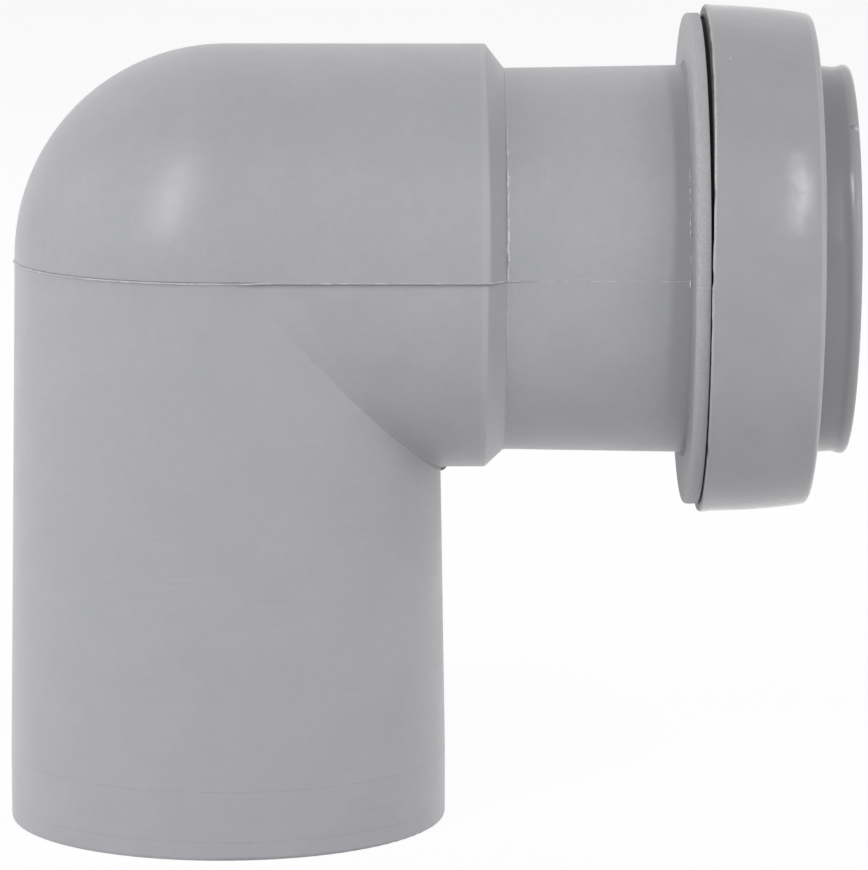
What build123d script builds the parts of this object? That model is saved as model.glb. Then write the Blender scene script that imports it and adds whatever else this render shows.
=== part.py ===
from build123d import *
import math
import os

# Reducing drain elbow, 50 mm spigot to 40 mm push-fit socket, in grey moulded plastic.
# Millimetres. The origin is the centre of the spigot's open end, +Z runs up the spigot's axis
# and +X points out of the socket's mouth. The two axes cross at height socket_h.

# Spigot: a plain tube that is a true cylinder at its open end and narrows slightly above it
spigot_d = 50.0
spigot_wall = 2.4
calibrated_h = 7.8
spigot_tip_round = 0.45

# Knuckle: a domed elbow, moulded in an upper and a lower half that meet at the socket's axis
socket_h = 64.5
knuckle_d = 48.1
knuckle_wall = 2.4
crown_rise = 0.4
parting_step = 0.35
barrel_l = 29.4
bevel_l = 2.15
bevel_round = 0.35
crease_round = 0.5
gate_r = 0.75

# Socket neck: takes the smaller pipe, which stops against an inner shoulder
pipe_d = 40.0
pipe_wall = 1.8
pipe_clearance = 0.25
neck_wall = 1.45
neck_l = 20.45
neck_draft = 0.95
stop_l = 2.1
reducer_l = 3.0

# Bell: the widened end of the neck that houses the seal, with a flange behind the cap
seal_section = 5.2
bell_wall = 1.9
bell_floor_t = 2.1
bell_l = 10.9
flange_t = 1.6
flange_step = 0.6
flange_round = 0.5
neck_root_round = 0.3
bell_tip_round = 0.4

# Snap bead that holds the cap on the bell
snap_h = 0.3
snap_l = 1.8
snap_setback = 3.2

# Seal: a rubber ring with an outer leg and one inner lip that leans into the socket
lip_squeeze = 0.7
lip_land_l = 2.0
lip_t = 1.0
lip_reach = 6.5
heel_l = 2.4
heel_step = 0.6
leg_t = 1.2
seal_round = 0.4

# Cap: a tapered cup over the bell, with a short sleeve round the socket's mouth
skirt_wall = 1.5
skirt_gap = 0.3
skirt_taper = 0.75
rim_l = 0.75
rim_h = 0.08
rim_round = 0.25
cap_end_t = 1.8
cap_corner_round = 0.8
sleeve_wall = 1.75
sleeve_l = 4.45
sleeve_lip_l = 1.2
sleeve_flare = 0.15
sleeve_tip_round = 0.5
mouth_lead_in = 0.6

# Radii and stations that follow from the sizes above
knuckle_r = knuckle_d / 2
crown_top_r = knuckle_r + crown_rise
lower_r = knuckle_r - parting_step
barrel_bore_r = lower_r - knuckle_wall
socket_r = pipe_d / 2 + pipe_clearance
stop_r = pipe_d / 2 - pipe_wall
lip_r = pipe_d / 2 - lip_squeeze
neck_r = socket_r + neck_wall
housing_r = socket_r + seal_section
bell_r = housing_r + bell_wall
flange_r = bell_r + flange_step
skirt_r = bell_r + skirt_wall
sleeve_r = socket_r + sleeve_wall

neck_x = barrel_l + bevel_l
stop_x = neck_x + stop_l
flange_x = neck_x + neck_l
bell_x = flange_x + flange_t
seat_x = flange_x + bell_floor_t
bell_end_x = bell_x + bell_l
skirt_x = bell_x + skirt_gap
cap_end_x = bell_end_x + cap_end_t
mouth_x = cap_end_x + sleeve_l
neck_end_r = neck_r + neck_l * math.tan(math.radians(neck_draft))

SOCKET_AXIS = Axis((0, 0, socket_h), (1, 0, 0))
SOCKET_PLANE = Plane((0, 0, socket_h), x_dir=(1, 0, 0), z_dir=(0, -1, 0))
PARTING_PLANE = Plane((0, 0, socket_h), x_dir=(1, 0, 0), z_dir=(0, 0, 1))
CROSS_PLANE = Plane((0, 0, socket_h), x_dir=(0, 1, 0), z_dir=(1, 0, 0))


def profile(corners):
    """Closed face from corners of two coordinates and a rounding radius."""
    points = [corner[:2] for corner in corners]
    rounds = [corner[2] for corner in corners]
    return make_face(FilletPolyline(*points, radius=rounds, close=True))


def turned(corners):
    """Solid of revolution about the socket's axis, from stations along it and radii."""
    return revolve(SOCKET_PLANE * profile(corners), SOCKET_AXIS)


def snap_bead():
    """Corners of the bead on the bell's outside, which the cap's groove repeats."""
    middle = bell_end_x - snap_setback
    return [
        (middle - snap_l / 2, bell_r, 0),
        (middle - snap_l / 2 + snap_h, bell_r + snap_h, 0),
        (middle + snap_l / 2 - snap_h, bell_r + snap_h, 0),
        (middle + snap_l / 2, bell_r, 0),
    ]


def spigot():
    """Outside of the spigot, from its open end up to the parting plane."""
    section = profile([
        (0, 0, 0),
        (spigot_d / 2, 0, spigot_tip_round),
        (spigot_d / 2, calibrated_h, 0),
        (knuckle_r, socket_h, 0),
        (0, socket_h, 0),
    ])
    return revolve(Plane.XZ * section, Axis.Z)


def crown():
    """Upper half of the knuckle: a half dome that runs on into a half barrel with a bevelled end."""
    dome_edge = Polyline((0, crown_top_r), (0, 0), (knuckle_r, 0), (knuckle_r, crown_rise))
    dome_arc = RadiusArc((knuckle_r, crown_rise), (0, crown_top_r), -knuckle_r)
    dome = revolve(CROSS_PLANE * make_face([dome_edge, dome_arc]), Axis.Z, 180)

    barrel_edge = Polyline(
        (-knuckle_r, crown_rise), (-knuckle_r, 0), (knuckle_r, 0), (knuckle_r, crown_rise)
    )
    barrel_arc = ThreePointArc((knuckle_r, crown_rise), (0, crown_top_r), (-knuckle_r, crown_rise))
    barrel = extrude(CROSS_PLANE * make_face([barrel_edge, barrel_arc]), neck_x)

    # The bevel runs from the top of the crown down to the neck, on a cone about the socket's axis
    drop = crown_top_r - neck_r
    bevel = turned([
        (barrel_l - bevel_l, crown_top_r + drop, 0),
        (neck_x, neck_r, 0),
        (neck_x, crown_top_r + drop, 0),
    ])
    bevelled = barrel - bevel
    rim = bevelled.edges().filter_by(lambda edge: edge.geom_type in (GeomType.BSPLINE, GeomType.HYPERBOLA))
    return dome + fillet(rim, bevel_round)


def lower_barrel():
    """Lower half of the barrel, a little smaller than the crown, with its own bevel."""
    section = profile([
        (0, 0, 0),
        (neck_x, 0, 0),
        (neck_x, -neck_r, 0),
        (barrel_l, -lower_r, bevel_round),
        (0, -lower_r, 0),
    ])
    return revolve(PARTING_PLANE * section, SOCKET_AXIS, 180)


def lower_half():
    """Spigot and lower barrel, joined along a rounded crease that ends in the crotch."""
    joined = spigot() + lower_barrel()
    crease = joined.edges().filter_by(GeomType.BSPLINE)
    return fillet(crease, crease_round)


def gate_vestige():
    """Small bead left in the crotch where the plastic was fed in."""
    crotch_h = socket_h - lower_r
    share = (crotch_h - calibrated_h) / (socket_h - calibrated_h)
    crotch_x = spigot_d / 2 + share * (knuckle_r - spigot_d / 2)
    return Pos(crotch_x, 0, crotch_h) * Sphere(gate_r)


def neck_and_bell():
    """Outside of the neck, the flange and the bell with its snap bead."""
    return turned([
        (neck_x, 0, 0),
        (neck_x, neck_r, 0),
        (flange_x, neck_end_r, neck_root_round),
        (flange_x, flange_r, flange_round),
        (bell_x, flange_r, 0),
        (bell_x, bell_r, 0),
        *snap_bead(),
        (bell_end_x, bell_r, bell_tip_round),
        (bell_end_x, 0, 0),
    ])


def spigot_core():
    """Hollow of the spigot, drafted, with a domed top that follows the crown."""
    mouth_r = spigot_d / 2 - spigot_wall
    dome_r = knuckle_r - knuckle_wall
    centre_h = socket_h + crown_rise
    sides = Polyline(
        (0, centre_h + dome_r), (0, -spigot_wall), (mouth_r, -spigot_wall), (mouth_r, 0), (dome_r, centre_h)
    )
    top = RadiusArc((dome_r, centre_h), (0, centre_h + dome_r), -dome_r)
    return revolve(Plane.XZ * make_face([sides, top]), Axis.Z)


def socket_core():
    """Hollow of the barrel, the pipe stop, the socket and the seal's housing."""
    return turned([
        (0, 0, 0),
        (0, barrel_bore_r, 0),
        (neck_x - reducer_l, barrel_bore_r, 0),
        (neck_x, stop_r, 0),
        (stop_x, stop_r, 0),
        (stop_x, socket_r, 0),
        (seat_x, socket_r, 0),
        (seat_x, housing_r, 0),
        (bell_end_x + cap_end_t, housing_r, 0),
        (bell_end_x + cap_end_t, 0, 0),
    ])


def elbow_body():
    """The one-piece moulding: spigot, domed knuckle, neck and bell."""
    outside = lower_half() + crown() + neck_and_bell() + gate_vestige()
    return outside - spigot_core() - socket_core()


def seal_ring():
    """Rubber lip seal, held between the bell's floor and the cap's end wall."""
    heel_x = bell_end_x - heel_l
    land_end_x = bell_end_x - lip_reach
    land_x = land_end_x + lip_land_l
    return turned([
        (seat_x, housing_r, 0),
        (bell_end_x, housing_r, 0),
        (bell_end_x, socket_r + heel_step, seal_round),
        (land_x, lip_r, 0),
        (land_end_x, lip_r, 0),
        (land_end_x, lip_r + lip_t, seal_round),
        (heel_x, socket_r + heel_step + lip_t, seal_round),
        (heel_x, housing_r - leg_t, seal_round),
        (seat_x, housing_r - leg_t, 0),
    ])


def retaining_cap():
    """Cup that snaps over the bell, with its tapered skirt, end wall and mouth sleeve."""
    rim_end_x = skirt_x + rim_l
    lip_x = mouth_x - sleeve_lip_l
    return turned([
        (skirt_x, bell_r, 0),
        (skirt_x, skirt_r + rim_h, rim_round),
        (rim_end_x, skirt_r + rim_h, 0),
        (rim_end_x, skirt_r, 0),
        (cap_end_x, skirt_r - skirt_taper, cap_corner_round),
        (cap_end_x, sleeve_r, 0),
        (lip_x, sleeve_r, 0),
        (lip_x + sleeve_flare, sleeve_r + sleeve_flare, 0),
        (mouth_x, sleeve_r + sleeve_flare, sleeve_tip_round),
        (mouth_x, socket_r + mouth_lead_in, 0),
        (mouth_x - mouth_lead_in, socket_r, 0),
        (bell_end_x, socket_r, 0),
        (bell_end_x, bell_r, 0),
        *reversed(snap_bead()),
    ])


os.makedirs("parts", exist_ok=True)
export_step(elbow_body(), "parts/elbow_body.step")
export_step(seal_ring(), "parts/seal_ring.step")
export_step(retaining_cap(), "parts/retaining_cap.step")
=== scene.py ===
# %% [markdown]
# # A reducing drain elbow
# The part is a grey moulded waste fitting: a plain 50 mm spigot below, a domed knuckle, and a smaller
# push-fit socket to the side whose rubber seal is held by a retaining cap. The packed solids are the
# frame: they already have the true sizes, so they are loaded first and never moved. Everything below
# either gives a solid its finish or adds what moulding and use leave on it, and some shade and highlights
# are painted into the colours as well.

# %% Load the packed solids
import math

import bmesh
import bpy
from mathutils import Matrix, Vector, noise


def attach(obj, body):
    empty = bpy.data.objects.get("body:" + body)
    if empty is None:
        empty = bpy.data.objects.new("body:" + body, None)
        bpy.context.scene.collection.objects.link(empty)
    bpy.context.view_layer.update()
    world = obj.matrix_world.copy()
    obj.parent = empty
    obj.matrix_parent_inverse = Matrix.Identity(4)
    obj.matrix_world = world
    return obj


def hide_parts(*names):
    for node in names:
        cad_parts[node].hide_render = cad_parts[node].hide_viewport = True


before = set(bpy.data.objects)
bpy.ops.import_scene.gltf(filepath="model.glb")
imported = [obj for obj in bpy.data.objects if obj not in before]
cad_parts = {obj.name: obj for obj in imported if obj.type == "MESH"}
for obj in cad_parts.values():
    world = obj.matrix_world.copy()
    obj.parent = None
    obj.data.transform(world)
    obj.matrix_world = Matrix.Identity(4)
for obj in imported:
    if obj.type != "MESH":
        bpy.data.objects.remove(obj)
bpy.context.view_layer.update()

MM = 0.001
AXIS_HEIGHT = 64.5
print("solids:", sorted(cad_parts), "socket axis at", AXIS_HEIGHT, "mm")

# %% [markdown]
# ## Camera
# The picture was taken with a long lens, a little above the socket and almost square to it. A camera is
# best set before anything else, because every later choice is judged through it. It is placed by its
# distance and three angles, so each can be read and changed by itself.

# %% Place the camera
camera_place = Vector((18.8, -589.4, 132.52)) * MM
camera_turn = math.radians(-0.476)
camera_tilt = math.radians(90 - 8.526)
camera_roll = math.radians(0.069)
camera = bpy.data.objects.new("camera", bpy.data.cameras.new("camera"))
aimed = Matrix.Rotation(camera_turn, 4, "Z") @ Matrix.Rotation(camera_tilt, 4, "X")
camera.matrix_world = Matrix.Translation(camera_place) @ aimed @ Matrix.Rotation(camera_roll, 4, "Z")
camera.data.sensor_width = 36.0
camera.data.lens = 215.27
camera.data.clip_start = 0.01
bpy.context.scene.collection.objects.link(camera)
bpy.context.scene.camera = camera
bpy.context.scene.view_settings.view_transform = "Standard"
print("camera", [round(value, 4) for value in camera_place], "lens", camera.data.lens)

# %% [markdown]
# ## Shader arithmetic
# A finish is a little sum of masks and noises. Written as nodes, such a sum is hard to read, so one small
# class holds a socket and lets plain Python arithmetic add the Math nodes. Its node() method adds any
# other kind of node: settings first, then the values or links of its sockets.


# %% One class for sockets
class Wire:
    """A socket in a material's node tree."""

    def __init__(self, tree, socket=None):
        self.tree = tree
        self.socket = socket

    def node(self, kind, settings=None, inputs=None, output=0):
        """Adds any node and returns the wire of one of its outputs."""
        made = self.tree.nodes.new("ShaderNode" + kind)
        for name, value in (settings or {}).items():
            setattr(made, name, value)
        for name, value in (inputs or {}).items():
            if isinstance(value, Wire):
                self.tree.links.new(value.socket, made.inputs[name])
            else:
                made.inputs[name].default_value = value
        return Wire(self.tree, made.outputs[output] if made.outputs else None)

    def math(self, operation, first, second=0.0):
        return self.node("Math", {"operation": operation}, {0: first, 1: second})

    def __add__(self, other):
        return self.math("ADD", self, other)

    def __radd__(self, other):
        return self.math("ADD", other, self)

    def __sub__(self, other):
        return self.math("SUBTRACT", self, other)

    def __rsub__(self, other):
        return self.math("SUBTRACT", other, self)

    def __mul__(self, other):
        return self.math("MULTIPLY", self, other)

    def __rmul__(self, other):
        return self.math("MULTIPLY", other, self)

    def rise(self, low, high):
        """0 below low, 1 above high, with a soft step between."""
        span = {"Value": self, "From Min": low, "From Max": high}
        return self.node("MapRange", {"interpolation_type": "SMOOTHSTEP"}, span)

    def band(self, low, high, soft):
        """1 between low and high, fading to 0 over soft on both sides."""
        return self.rise(low - soft, low) * (1 - self.rise(high, high + soft))

    def blend(self, factor, first, second):
        """One colour mixed with another by a factor. Each is a wire or three numbers."""
        pair = [ends if isinstance(ends, Wire) else (*ends, 1.0) for ends in (first, second)]
        return self.node("Mix", {"data_type": "RGBA"}, {0: factor, 6: pair[0], 7: pair[1]}, 2)

    def grain(self, scale, detail=2.0, roughness=0.5):
        """Noise on this vector, from 0 to 1."""
        settings = {"Vector": self, "Scale": scale, "Detail": detail, "Roughness": roughness}
        return self.node("TexNoise", inputs=settings)

    def stretched(self, factors):
        """This vector with each of its three parts scaled by its own factor."""
        return self.node("VectorMath", {"operation": "MULTIPLY"}, {0: self, 1: factors})

    def near(self, point, inner, outer):
        """1 within inner of a point, 0 beyond outer, in millimetres."""
        ends = {0: self, 1: tuple(value * MM for value in point)}
        distance = self.node("VectorMath", {"operation": "DISTANCE"}, ends, "Value")
        return 1 - distance.rise(inner * MM, outer * MM)


print("wire methods:", [name for name in vars(Wire) if not name.startswith("__")])

# %% [markdown]
# ## Stage and light
# Product shots of fittings are taken in a white cove: a floor that runs up into a backdrop without a
# corner. It is one strip of surface, bevelled where the floor turns up, and wide and deep enough for a
# camera to stand inside it on any side of the part. The cove is white to the camera and to reflections, and
# matt to everything else, so it throws no more light on the part than a painted wall would and still takes
# the part's shadow.

# %% White cove
half_width = 4.0
half_depth = 3.0
wall_height = 3.0
cove = bmesh.new()
cove_front = cove.verts.new((-half_width, -half_depth, 0.0))
cove_corner = cove.verts.new((-half_width, half_depth, 0.0))
cove_top = cove.verts.new((-half_width, half_depth, wall_height))
cove_edges = [cove.edges.new((cove_front, cove_corner)), cove.edges.new((cove_corner, cove_top))]
swept = bmesh.ops.extrude_edge_only(cove, edges=cove_edges)
swept_verts = [item for item in swept["geom"] if isinstance(item, bmesh.types.BMVert)]
bmesh.ops.translate(cove, verts=swept_verts, vec=(2 * half_width, 0, 0))
at_bend = [vert for vert in cove.verts if vert.co.y > half_depth - 0.1 and vert.co.z < 0.1]
bend = [edge for edge in cove.edges if set(edge.verts) <= set(at_bend)]
bmesh.ops.bevel(cove, geom=bend, offset=1.0, affect="EDGES", segments=12, profile=0.5, material=-1)
bmesh.ops.recalc_face_normals(cove, faces=cove.faces)
cove_mesh = bpy.data.meshes.new("white_cove")
cove.to_mesh(cove_mesh)
cove.free()
cove_mesh.shade_smooth()
white_cove = bpy.data.objects.new("white_cove", cove_mesh)
bpy.context.scene.collection.objects.link(white_cove)
print("cove faces", len(cove_mesh.polygons))


# %% Paint for the cove, and the white room around it
def seen_white(wire):
    """1 for rays from the camera and for mirrored or clear rays, 0 for the light that falls on things."""
    camera_ray = wire.node("LightPath", output="Is Camera Ray")
    glossy_ray = wire.node("LightPath", output="Is Glossy Ray")
    clear_ray = wire.node("LightPath", output="Is Transmission Ray")
    return wire.math("MAXIMUM", wire.math("MAXIMUM", camera_ray, glossy_ray), clear_ray)


cove_paint = bpy.data.materials.new("cove_paint")
cove_paint.use_nodes = True
cove_paint.node_tree.nodes.clear()
paint = Wire(cove_paint.node_tree)
matt_white = paint.node("BsdfDiffuse", inputs={"Color": (0.85, 0.85, 0.85, 1.0)})
lit_white = paint.node("Emission", inputs={"Strength": 1.02})
lit_share = 0.92
whitened = paint.node("MixShader", inputs={0: seen_white(paint) * lit_share, 1: matt_white, 2: lit_white})
paint.node("OutputMaterial", inputs={"Surface": whitened})
white_cove.data.materials.append(cove_paint)

room = bpy.data.worlds.new("white_room")
bpy.context.scene.world = room
room.use_nodes = True
room.node_tree.nodes.clear()
walls = Wire(room.node_tree)
room_light = 0.02
glow = walls.node("Background", inputs={"Strength": seen_white(walls) * (1 - room_light) + room_light})
walls.node("OutputWorld", inputs={"Surface": glow})
print("room light", room_light)

# %% [markdown]
# ## Lamps
# Satin plastic shows its lamps as soft streaks, so the streaks say where the lamps stood. A strip on the
# left draws the broad one on the dome. A thin strip on the right, with a brighter core, draws the narrow one
# on the cap, and its light stops in the corner behind the flange. The other lamps only fill and are kept out
# of reflections: mirrored, each would leave a patch of its own. One comes in low from the right, under the
# neck, and one from behind brightens the upper edges.


# %% Softboxes
part_middle = Vector((0.022, 0.0, 0.055))
lamp_distance = 0.9


def softbox(name, azimuth, elevation, width, height, level, mirrored=True, lean=0):
    """A soft lamp aimed at the part. Level is how bright it makes white paper that faces it."""
    turn = math.radians(azimuth)
    rise = math.radians(elevation)
    towards = Vector((math.sin(turn) * math.cos(rise), -math.cos(turn) * math.cos(rise), math.sin(rise)))
    aim = towards.to_track_quat("Z", "Y").to_matrix() @ Matrix.Rotation(math.radians(lean), 3, "Z")
    lamp = bpy.data.objects.new(name, bpy.data.lights.new(name, "AREA"))
    lamp.data.shape = "RECTANGLE"
    lamp.data.size = width
    lamp.data.size_y = height
    lamp.data.energy = level * (math.pi * lamp_distance) ** 2
    lamp.location = part_middle + lamp_distance * towards
    lamp.rotation_euler = aim.to_euler()
    lamp.visible_glossy = mirrored
    bpy.context.scene.collection.objects.link(lamp)
    return lamp


softbox("left_strip", -33, 36, 0.12, 0.62, 0.30)
softbox("right_strip", 24.7, 35, 0.045, 0.62, 0.055, lean=-14)
softbox("right_core", 24.7, 33, 0.035, 0.36, 0.045, lean=-14)
softbox("right_near", 24.7, 34, 0.10, 0.60, 0.10, mirrored=False, lean=-14)
softbox("left_fill", -52, 14, 0.40, 0.40, 0.14, mirrored=False)
softbox("left_side", -95, 20, 0.50, 0.60, 0.40, mirrored=False)
softbox("right_fill", 52, 28, 0.50, 0.50, 0.32, mirrored=False)
softbox("right_side", 105, 6, 0.40, 0.20, 0.13, mirrored=False)
softbox("back_top", 180, 50, 1.00, 0.40, 0.39, mirrored=False)
print("lamps:", [lamp.name for lamp in bpy.data.lights])

# %% [markdown]
# ## Grey body plastic
# The body is moulded in grey polypropylene: satin, a touch bluish, evenly coloured, with the faint bloom
# and scuffs of a fitting that has been handled. A plain colour would look like a drawing, so the finish is
# built from where a point lies: its height on the spigot, its distance from either axis. Some masks stand
# for things that a moulder would point at: the sanded flange, the rings near the spigot's end, the gate's
# stub, whose dark spot is partly dirt and partly painted shade, and the parting line. The others paint light
# and shade into the colour: painted shade in the corner behind the flange, in the crease, in the gap behind
# the cap, on the flange's back face and along the dark edges of the parting flash, and painted highlights on
# the bevel's edge and near the top of the flange's back face.


# %% Where a point of the elbow lies
def places(wire):
    """Object position and the measures that the masks need, in metres."""
    place = wire.node("TexCoord", output="Object")
    x = place.node("SeparateXYZ", inputs={0: place}, output=0)
    y = place.node("SeparateXYZ", inputs={0: place}, output=1)
    z = place.node("SeparateXYZ", inputs={0: place}, output=2)
    up = z - AXIS_HEIGHT * MM
    from_spigot_axis = place.math("SQRT", x * x + y * y)
    from_socket_axis = place.math("SQRT", y * y + up * up)
    return place, x, z, from_spigot_axis, from_socket_axis


def new_finish(name):
    """A material with a Principled shader, and the wire to build its sums on."""
    finish = bpy.data.materials.new(name)
    finish.use_nodes = True
    return finish, finish.node_tree.nodes["Principled BSDF"], Wire(finish.node_tree)


def plug(wire, shader, socket):
    wire.tree.links.new(wire.socket, shader.inputs[socket])


print("helpers for finishes ready")

# %% Masks of the body
grey_body_plastic, shader, wire = new_finish("grey_body_plastic")
place, x, z, from_spigot_axis, from_socket_axis = places(wire)

on_spigot = (1 - z.rise(62 * MM, 64 * MM)) * (1 - from_spigot_axis.rise(25.1 * MM, 25.6 * MM))
flange_back = 51.95 * MM
flange_radius = 27.2 * MM
neck_radius = 22.5 * MM
on_flange = x.band(flange_back, 53.56 * MM, 0.03 * MM) * from_socket_axis.rise(flange_radius, 27.4 * MM)
beyond_neck = from_socket_axis.band(neck_radius, flange_radius, 0.1 * MM)
on_flange_back = x.band(flange_back, 52.05 * MM, 0.03 * MM) * beyond_neck
on_neck = 1 - from_socket_axis.rise(neck_radius, 22.6 * MM)
# Painted shade: the neck in the corner behind the flange and in the flange's root.
corner_painted_shade = x.rise(48.9 * MM, 50.0 * MM) * on_neck
root_painted_shade = x.rise(51.66 * MM, 51.72 * MM) * on_neck
# Painted highlight: a light line along the barrel's bevel edge.
bevel_painted_highlight = x.band(28.9 * MM, 29.3 * MM, 0.35 * MM) * from_socket_axis.rise(23.3 * MM, 23.5 * MM)
spigot_taper = 0.01675
off_spigot = from_spigot_axis + z * spigot_taper - 25.13 * MM
# Painted shade: the crease where the spigot meets the barrel.
crease_painted_shade = off_spigot.rise(0.01 * MM, 0.05 * MM) * from_socket_axis.rise(23.71 * MM, 23.75 * MM)
crease_painted_shade = crease_painted_shade * (1 - z.rise(63 * MM, 64 * MM)) * (1 - x.rise(27 * MM, 28 * MM))
# Painted shade: the body inside the gap behind the cap's skirt.
gap_painted_shade = x.rise(53.57 * MM, 53.61 * MM) * from_socket_axis.band(26.5 * MM, 27.66 * MM, 0.05 * MM)
on_dome = 1 - x.rise(3 * MM, 5 * MM)
on_barrel = x.band(4.5 * MM, 33.5 * MM, 1.5 * MM)
# Painted shade: dark hairlines beside the parting flash, above it on the dome, below it on the barrel.
painted_shade_above_flash = on_dome * z.band(64.53 * MM, 64.62 * MM, 0.04 * MM)
painted_shade_below_flash = on_barrel * z.band(64.28 * MM, 64.44 * MM, 0.04 * MM)
mould_rings = z.band(7.76 * MM, 7.84 * MM, 0.04 * MM) + z.band(2.06 * MM, 2.14 * MM, 0.05 * MM)
# The gate's stub: a dark spot, partly dirt and partly painted shade of its recess.
at_gate = place.near((24.5, 0.0, 40.6), 0.5, 0.85)
at_tick = place.stretched((1.0, 1.0, 2.0)).near((32.34, -21.67, 126.5), 0.05, 0.25)
oval_long = 0.35
oval_place = place.stretched((1.0, oval_long, oval_long))
oval_middle = (35.8, -18.6 * oval_long, 75.85 * oval_long)
on_oval = oval_place.near(oval_middle, 0.45, 0.65) - oval_place.near(oval_middle, 0.2, 0.4)
print("masks of the body ready")

# %% Colour of the body
body_grey = (0.399, 0.401, 0.425)
scuffs = place.stretched((90, 90, 4200)).grain(1.0, 3.0, 0.6)
bloom = place.grain(45, 2.0)
mottle = place.grain(160, 3.0)
sand = place.grain(5200, 1.0)
broken = place.grain(700, 2.0).rise(0.35, 0.6)
speckle = place.grain(1000, 2.0)
handled = place.grain(60, 1.0).rise(0.40, 0.62)

shade = wire.blend(bloom.rise(0.45, 0.75) * 0.35, body_grey, (0.392, 0.383, 0.412))
shade = wire.blend(mottle.rise(0.35, 0.75) * 0.45, shade, (0.36, 0.365, 0.384))
shade = wire.blend(speckle.rise(0.35, 0.65) * 0.24, shade, (0.345, 0.347, 0.367))
scuffed = scuffs.rise(0.5, 0.8) * (handled * 0.4 + 0.12) + 0.20
shade = wire.blend(on_spigot * scuffed, shade, (0.445, 0.447, 0.472))
shade = wire.blend(on_flange * (sand.rise(0.35, 0.75) * 0.8 + 0.08), shade, (0.47, 0.474, 0.49))
shade = wire.blend(mould_rings * (broken * 0.16 + 0.08), shade, (0.26, 0.262, 0.275))
# Painted shade on the flange's back face, broken by its sand grain, and painted light near its top.
shade = wire.blend(on_flange_back * (sand.rise(0.35, 0.75) * 0.25 + 0.1), shade, (0.27, 0.272, 0.285))
shade = wire.blend(on_flange_back * z.rise(80 * MM, 90 * MM) * 0.6, shade, (0.46, 0.463, 0.48))
# Painted shade: the neck darker in the corner behind the flange and in the flange's root.
shade = wire.blend(corner_painted_shade * 0.2 + root_painted_shade * 0.3, shade, (0.26, 0.262, 0.275))
# Painted highlight along the barrel's bevel edge.
shade = wire.blend(bevel_painted_highlight * 0.35, shade, (0.47, 0.47, 0.49))
# Painted shade in the crease where the spigot meets the barrel.
shade = wire.blend(crease_painted_shade * 0.32, shade, (0.20, 0.20, 0.21))
shade = wire.blend(on_oval * 0.5, shade, (0.43, 0.43, 0.45))
# Painted shade: dark hairlines beside the parting flash, above it on the dome and below it on the barrel.
shade = wire.blend(painted_shade_above_flash * (broken * 0.3 + 0.45), shade, (0.14, 0.14, 0.145))
shade = wire.blend(painted_shade_below_flash * (broken * 0.2 + 0.2), shade, (0.14, 0.14, 0.145))
flange_seam = on_flange * z.band(64.45 * MM, 64.55 * MM, 0.05 * MM)
shade = wire.blend(flange_seam * 0.5, shade, (0.52, 0.52, 0.54))
shade = wire.blend(at_tick * 0.4, shade, (0.60, 0.60, 0.61))
# The gate's stub is darkened: partly dirt, partly painted shade.
shade = wire.blend(at_gate * 0.7, shade, (0.16, 0.16, 0.165))
# Painted shade: the gap behind the cap's skirt is painted almost black.
shade = wire.blend(gap_painted_shade, shade, (0.012, 0.012, 0.013))
plug(shade, shader, "Base Color")
print("colour of the body", body_grey)

# %% Gloss and relief of the body
dullness = 0.34 + on_flange * 0.22 + (mottle - 0.5) * 0.10 + on_spigot * scuffs.rise(0.45, 0.8) * 0.12
dullness = dullness + gap_painted_shade * 0.5 + root_painted_shade * 0.4 + crease_painted_shade * 0.3 + on_flange_back * 0.2
plug(dullness, shader, "Roughness")

pores = place.grain(1500, 2.0)
relief = (on_flange + on_flange_back) * sand * 0.05 + on_spigot * scuffs * 0.008
relief = relief + mottle * 0.010 + pores * 0.002 - on_spigot * mould_rings * 0.012
bumped = wire.node("Bump", inputs={"Strength": 1.0, "Distance": 1.0 * MM, "Height": relief})
plug(bumped, shader, "Normal")
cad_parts["elbow_body"].material_slots[0].material = grey_body_plastic
print("body plastic nodes", len(grey_body_plastic.node_tree.nodes))

# %% [markdown]
# ## Retaining cap
# The cap is a cup that snaps over the bell, with a short waisted sleeve round the mouth. Its skirt has
# shrunk into a slight bow, its edge is ragged, and it sits a hair askew: the dark gap behind it is widest
# near the top and almost shut at the height of the axis. The section is drawn once, its corners are rounded
# with a vertex bevel, and it is spun about the socket's axis. What is uneven is then done vertex by vertex.
# The solid is hidden, and this piece is drawn in its place. The solid stays as the collision shape, and
# this piece stands for it.

# %% Spin the cap
socket_axis = Vector((0, 0, AXIS_HEIGHT)) * MM
cap_corners = [
    (53.90, 27.45, 0.00), (53.90, 28.89, 0.25), (54.55, 28.89, 0.00), (55.05, 28.82, 0.00),
    (66.20, 27.82, 0.50), (66.20, 22.03, 0.00), (67.60, 21.99, 0.00), (68.30, 21.93, 0.00),
    (68.80, 21.89, 0.00), (69.20, 21.92, 0.00), (69.60, 22.06, 0.00), (69.90, 22.13, 0.00),
    (70.60, 22.13, 0.50), (70.60, 20.85, 0.20), (70.00, 20.25, 0.00), (64.50, 20.25, 0.00),
    (64.50, 27.45, 0.00),
]
cap_form = bmesh.new()
corner_verts = [cap_form.verts.new((x_mm * MM, 0, r_mm * MM)) for x_mm, r_mm, _ in cap_corners]
cap_form.faces.new(corner_verts)
for vert, (_, _, corner_round) in zip(corner_verts, cap_corners):
    if corner_round:
        bmesh.ops.bevel(
            cap_form, geom=[vert], offset=corner_round * MM, affect="VERTICES",
            segments=4, profile=0.5, material=-1
        )
bmesh.ops.delete(cap_form, geom=cap_form.faces[:], context="FACES_ONLY")
long_edges = [edge for edge in cap_form.edges if edge.calc_length() > 8 * MM]
bmesh.ops.subdivide_edges(cap_form, edges=long_edges, cuts=14)
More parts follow.
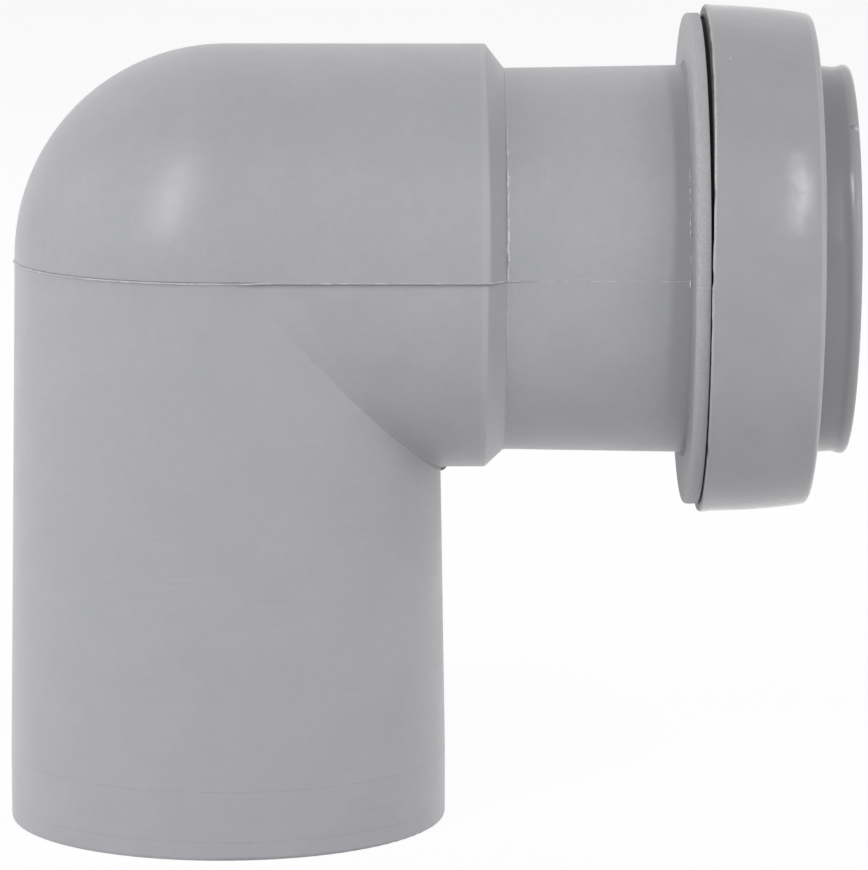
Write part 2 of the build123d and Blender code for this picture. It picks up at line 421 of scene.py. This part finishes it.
bmesh.ops.spin(
    cap_form, geom=cap_form.verts[:] + cap_form.edges[:], cent=(0, 0, 0), axis=(1, 0, 0),
    angle=2 * math.pi, steps=240, use_merge=True
)
bmesh.ops.translate(cap_form, verts=cap_form.verts[:], vec=socket_axis)
print("cap faces", len(cap_form.faces))

# %% Ragged edge, bowed skirt, slight waves and the askew seat
skirt_start = 55.05 * MM
skirt_length = 11.15 * MM
skirt_bow = 0.572
skirt_wave = 0.03
gap_shut = 0.24
opens_above = 0.58
opens_below = 0.25
gap_open = 0.20
for vert in cap_form.verts:
    outward = Vector((0, vert.co.y, vert.co.z - socket_axis.z))
    radius = outward.length
    outward.normalize()
    if vert.co.x < 54.2 * MM and radius > 28 * MM:
        broad_chip = max(0.0, noise.noise(vert.co * 450) - 0.15) * 0.2
        fine_chip = max(0.0, noise.noise(vert.co * 1600)) * 0.05
        closed_above = gap_shut - opens_above * outward.z
        closed_below = gap_shut + opens_below * outward.z
        closing = max(-gap_open, min(closed_above, closed_below))
        vert.co.x += (broad_chip + fine_chip - closing) * MM
    if vert.co.x > skirt_start and radius > 27.5 * MM:
        along = (vert.co.x - skirt_start) / skirt_length
        bow = skirt_bow * (along - along ** 3)
        vert.co += outward * (bow + noise.noise(vert.co * 90) * skirt_wave) * MM
cap_middle = Vector((60, 0, AXIS_HEIGHT)) * MM
askew = Matrix.Rotation(math.radians(0.35), 3, "Y")
bmesh.ops.rotate(cap_form, verts=cap_form.verts[:], cent=cap_middle, matrix=askew)
print("cap edge from", round(min(vert.co.x for vert in cap_form.verts) / MM, 2), "mm")


# %% Finish a form as a piece of the elbow
def make_piece(name, form, finish, sharp=35):
    """Closes a form, gives it its finish and lets it ride on the elbow."""
    bmesh.ops.remove_doubles(form, verts=form.verts[:], dist=0.0005 * MM)
    bmesh.ops.recalc_face_normals(form, faces=form.faces[:])
    mesh = bpy.data.meshes.new(name)
    form.to_mesh(mesh)
    form.free()
    mesh.shade_smooth()
    mesh.set_sharp_from_angle(angle=math.radians(sharp))
    mesh.materials.append(finish)
    piece = bpy.data.objects.new(name, mesh)
    bpy.context.scene.collection.objects.link(piece)
    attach(piece, "root")
    print(name, "faces", len(mesh.polygons))
    return piece


print("pieces are closed, finished and set to ride by make_piece")

# %% [markdown]
# ## Cap plastic
# The cap is moulded from the same grey, a little darker and glossier, and its surface flows in faint waves
# that break up the highlight. The edge of the skirt is pale where it was trimmed, and a few nicks tell that
# it has been handled. Light and shade are painted in as well: painted shade on the sleeve and on the edge's
# face inside the gap, painted light on the sleeve's lip and a painted highlight along the rim's corner. The
# edge wanders with the gap, so its mask takes the same numbers back out of a point's place before it looks
# for the edge.

# %% Masks of the cap
grey_cap_plastic, shader, wire = new_finish("grey_cap_plastic")
place, x, z, _, from_socket_axis = places(wire)
# Painted shade on the sleeve, painted light on its lip and a painted highlight on the rim's corner.
sleeve_painted_shade = x.rise(66.2 * MM, 66.6 * MM)
lip_painted_light = x.rise(69.2 * MM, 69.8 * MM)
rim_painted_highlight = x.band(65.7 * MM, 66.1 * MM, 0.15 * MM)
near_middle = z.band(58 * MM, 82 * MM, 8 * MM)
at_fleck = place.near((56.23, -15.85, 88.54), 0.08, 0.2)
at_spot = place.stretched((0.5, 1.0, 1.0)).near((31.81, -26.36, 74.78), 0.08, 0.25)
edge_radius = 28.9 * MM
askew_reach = 0.177 * MM
height = (z - AXIS_HEIGHT * MM) * (1 / edge_radius)
narrowed = wire.math("MINIMUM", gap_shut - height * opens_above, gap_shut + height * opens_below)
along_cap = x + wire.math("MAXIMUM", narrowed, -gap_open) * MM - height * askew_reach
on_edge = 1 - along_cap.rise(54.02 * MM, 54.22 * MM)
at_nick = place.near((70.43, -15.0, 80.75), 0.2, 0.4)
beside_nick = place.near((69.85, -14.8, 80.95), 0.1, 0.5)
inside_edge = 1 - from_socket_axis.rise(28.55 * MM, 28.75 * MM)
# Painted shade: the face of the skirt's edge inside the gap.
edge_face_painted_shade = (1 - along_cap.rise(54.0 * MM, 54.15 * MM)) * inside_edge
print("masks of the cap ready")

# %% Colour, gloss and relief of the cap
flow = place.grain(120, 3.0, 0.6)
mottle = place.grain(260, 3.0)
fine = place.grain(2500, 2.0)
shade = wire.blend(flow.rise(0.35, 0.75) * 0.6, (0.372, 0.373, 0.390), (0.338, 0.339, 0.358))
shade = wire.blend(mottle.rise(0.35, 0.7) * 0.3, shade, (0.33, 0.331, 0.349))
paled = on_edge * fine.rise(0.1, 0.7) * (near_middle * 0.5 + 0.2)
shade = wire.blend(paled, shade, (0.62, 0.60, 0.57))
# Painted shade: the edge's face inside the gap is painted nearly black.
shade = wire.blend(edge_face_painted_shade * 0.85, shade, (0.05, 0.048, 0.045))
# Painted shade: the sleeve is painted darker, as the cap's end shades it.
shade = wire.blend(sleeve_painted_shade * 0.7, shade, (0.28, 0.281, 0.30))
# Painted light: the sleeve's lip is painted lighter.
shade = wire.blend(lip_painted_light * 0.5, shade, (0.43, 0.43, 0.445))
# Painted highlight: a light line along the rim's rounded corner.
shade = wire.blend(rim_painted_highlight * 0.5, shade, (0.48, 0.48, 0.50))
shade = wire.blend(at_spot * 0.3, shade, (0.20, 0.20, 0.21))
shade = wire.blend(at_fleck * 0.7, shade, (0.60, 0.60, 0.61))
shade = wire.blend(beside_nick * 0.5, shade, (0.20, 0.20, 0.21))
shade = wire.blend(at_nick * 0.8, shade, (0.60, 0.60, 0.61))
plug(shade, shader, "Base Color")
dullness = 0.15 + (mottle - 0.5) * 0.16 + on_edge * 0.3
plug(dullness, shader, "Roughness")
relief = flow * 0.07 + mottle * 0.03 + fine * 0.002
bumped = wire.node("Bump", inputs={"Strength": 1.0, "Distance": 1.0 * MM, "Height": relief})
plug(bumped, shader, "Normal")
shader.inputs["Specular IOR Level"].default_value = 0.36
retaining_cap = make_piece("moulded_retaining_cap", cap_form, grey_cap_plastic)
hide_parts("retaining_cap")

# %% [markdown]
# ## Rubber seal
# The lip seal hides inside the bell and shows only through the mouth. The solid has its true section, so
# it stays, and gets a matt black rubber with the fine grain of its mould.

# %% Rubber
black_rubber, shader, wire = new_finish("black_rubber")
place = wire.node("TexCoord", output="Object")
chalk = place.grain(300, 3.0)
shade = wire.blend(chalk.rise(0.4, 0.8) * 0.6, (0.022, 0.022, 0.023), (0.045, 0.045, 0.046))
plug(shade, shader, "Base Color")
plug(0.62 + (chalk - 0.5) * 0.2, shader, "Roughness")
relief = place.grain(2400, 2.0) * 0.01
bumped = wire.node("Bump", inputs={"Strength": 1.0, "Distance": 1.0 * MM, "Height": relief})
plug(bumped, shader, "Normal")
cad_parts["seal_ring"].material_slots[0].material = black_rubber
print("rubber nodes", len(black_rubber.node_tree.nodes))

# %% [markdown]
# ## Flash at the parting line
# The upper and the lower half of the mould meet at the height of the socket's axis, and a hair of plastic
# creeps between them. It runs round the back of the dome and along both sides of the barrel and the neck.
# A curve with a bevel would also do, but a swept section keeps three clean sides: a small triangle is spun
# half a turn about the spigot's axis, and its two ends are then extruded along the socket, run by run. Noise
# makes it ragged. It is a clear ridge round the dome, lies a little lower there, and thins out on the neck.

# %% Sweep the parting flash
whitened_plastic, shader, wire = new_finish("whitened_plastic")
place = wire.node("TexCoord", output="Object")
shade = wire.blend(place.grain(900, 2.0).rise(0.35, 0.7), (0.52, 0.523, 0.54), (0.70, 0.70, 0.71))
plug(shade, shader, "Base Color")
plug(0.42 + place.grain(700, 2.0) * 0.2, shader, "Roughness")


def section(form, points):
    """A closed loop of edges through a few points in millimetres."""
    corners = [form.verts.new(Vector(point) * MM) for point in points]
    loop = [form.edges.new((corners[index - 1], corners[index])) for index in range(len(corners))]
    return corners, loop


def run_on(form, loop, shift, steps):
    """Extrudes a loop along a straight run, in equal steps, and returns its last copy."""
    for _ in range(steps):
        grown = bmesh.ops.extrude_edge_only(form, edges=loop)["geom"]
        fresh = [item for item in grown if isinstance(item, bmesh.types.BMVert)]
        bmesh.ops.translate(form, verts=fresh, vec=Vector(shift) * MM / steps)
        edges = [item for item in grown if isinstance(item, bmesh.types.BMEdge)]
        loop = [edge for edge in edges if set(edge.verts) <= set(fresh)]
    return loop


flash_form = bmesh.new()
corners, first_loop = section(flash_form, [(0, -24.00, 64.40), (0, -24.17, 64.50), (0, -24.00, 64.58)])
spun = bmesh.ops.spin(
    flash_form, geom=corners + first_loop, cent=(0, 0, 0), axis=(0, 0, 1), angle=-math.pi, steps=150
)["geom_last"]
last_loop = [item for item in spun if isinstance(item, bmesh.types.BMEdge)]
for side, loop in ((1, first_loop), (-1, last_loop)):
    loop = run_on(flash_form, loop, (29.71, 0, 0), 90)
    loop = run_on(flash_form, loop, (1.84, side * 2.35, 0), 8)
    loop = run_on(flash_form, loop, (20.4, side * -0.37, 0), 70)
bmesh.ops.holes_fill(flash_form, edges=flash_form.edges[:], sides=3)
dome_drop = 0.07
dome_ridge = 0.07
ridge_droop = 0.6
for vert in flash_form.verts:
    outward = Vector((min(vert.co.x, 0.0), vert.co.y, 0))
    on_tip = outward.length > 24.1 * MM
    outward.normalize()
    ragged = 0.03 * noise.noise(vert.co * 900) + 0.03 * noise.noise(vert.co * 230)
    thinner = 0.06 if vert.co.x > 31 * MM else 0.0
    dome_share = 1 - min(1.0, max(0.0, vert.co.x / MM - 3) / 2)
    ridge = dome_ridge * dome_share if on_tip else 0.0
    vert.co += outward * (ragged - thinner + ridge) * MM
    vert.co.z -= (dome_drop * dome_share + ridge_droop * ridge) * MM
make_piece("parting_flash", flash_form, whitened_plastic, 80)

# %% [markdown]
# ## Torn flash round the neck
# Where the barrel's bevel meets the neck, the mould's insert leaves a torn white fringe. It is strong on
# the upper half, towards the parting line, and a mere hair below it. A few specks of it also sit in the root
# of the flange. Loose crumbs would need scattering. It is simpler to spin the same small triangle a full turn
# about the socket's axis and let noise pull it in and out, so that only its peaks come through the surface.

# %% Torn plastic, and a ring to tear
torn_plastic, shader, wire = new_finish("torn_plastic")
place = wire.node("TexCoord", output="Object")
shade = wire.blend(place.grain(1500, 2.0).rise(0.3, 0.65), (0.50, 0.50, 0.51), (0.72, 0.72, 0.72))
plug(shade, shader, "Base Color")
plug(0.5 + place.grain(900, 2.0) * 0.2, shader, "Roughness")


def ring(points):
    """A small closed section, spun a full turn about the socket's axis."""
    form = bmesh.new()
    corners, loop = section(form, points)
    bmesh.ops.spin(
        form, geom=corners + loop, cent=(0, 0, 0), axis=(1, 0, 0),
        angle=2 * math.pi, steps=960, use_merge=True
    )
    bmesh.ops.translate(form, verts=form.verts[:], vec=socket_axis)
    return form


print("torn plastic nodes", len(torn_plastic.node_tree.nodes))

# %% Fringe of the neck
fringe_form = ring([(31.46, 0, 21.55), (31.60, 0, 21.92), (31.82, 0, 21.55)])
for vert in fringe_form.verts:
    outward = Vector((0, vert.co.y, vert.co.z - socket_axis.z))
    height = outward.z / outward.length
    outward.normalize()
    strong = 0.35
    if 0.0 < height < 0.8:
        strong = 1.0 if height < 0.55 else 0.8
    torn = noise.noise(vert.co * 520) + 0.9 * noise.noise(vert.co * 2600)
    lift = (torn + 0.25) * 0.22 * strong - 0.03 - 0.29 * (1 - strong)
    vert.co += outward * lift * MM
    wander = 0.08 * noise.noise(vert.co * 800) + 0.10 * noise.noise(vert.co * 3100)
    vert.co.x += wander * strong * MM
make_piece("neck_fringe", fringe_form, torn_plastic, 80)

# %% Specks in the flange's root
speck_form = ring([(51.55, 0, 21.95), (51.72, 0, 22.20), (51.86, 0, 21.95)])
for vert in speck_form.verts:
    outward = Vector((0, vert.co.y, vert.co.z - socket_axis.z))
    depth = 0.12 if -1.3 * MM < outward.z < 12.5 * MM else 0.45
    outward.normalize()
    torn = noise.noise(vert.co * 1700) + 0.6 * noise.noise(vert.co * 3900)
    vert.co += outward * (torn * 0.2 - depth) * MM
make_piece("flange_specks", speck_form, torn_plastic, 80)

# %% [markdown]
